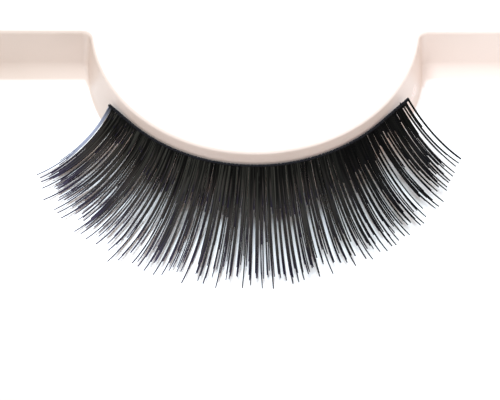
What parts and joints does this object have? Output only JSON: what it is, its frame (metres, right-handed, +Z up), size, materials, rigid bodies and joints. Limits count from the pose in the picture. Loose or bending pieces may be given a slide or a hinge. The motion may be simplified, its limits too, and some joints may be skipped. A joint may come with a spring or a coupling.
{
  "type": "false eyelash strip on a display tray",
  "caption": "Curved strip of false eyelashes on a thread band, resting against the D-shaped shelf of a low moulded plastic display tray.",
  "frame": {"origin": "on the table, under the middle of the tray", "axes": "+X along the strip, +Y towards the raised deck at the back, +Z up"},
  "size_m": [0.056, 0.048, 0.0074],
  "materials": {
    "tray_plastic": "satin white moulded sheet",
    "band_thread": "black knotted thread",
    "lash_fibre": "black synthetic hair with a soft sheen"
  },
  "bodies": {
    "root": {"tray": "tray_plastic", "lash_band": "band_thread", "lash_fringe": "lash_fibre"}
  },
  "joints": []
}
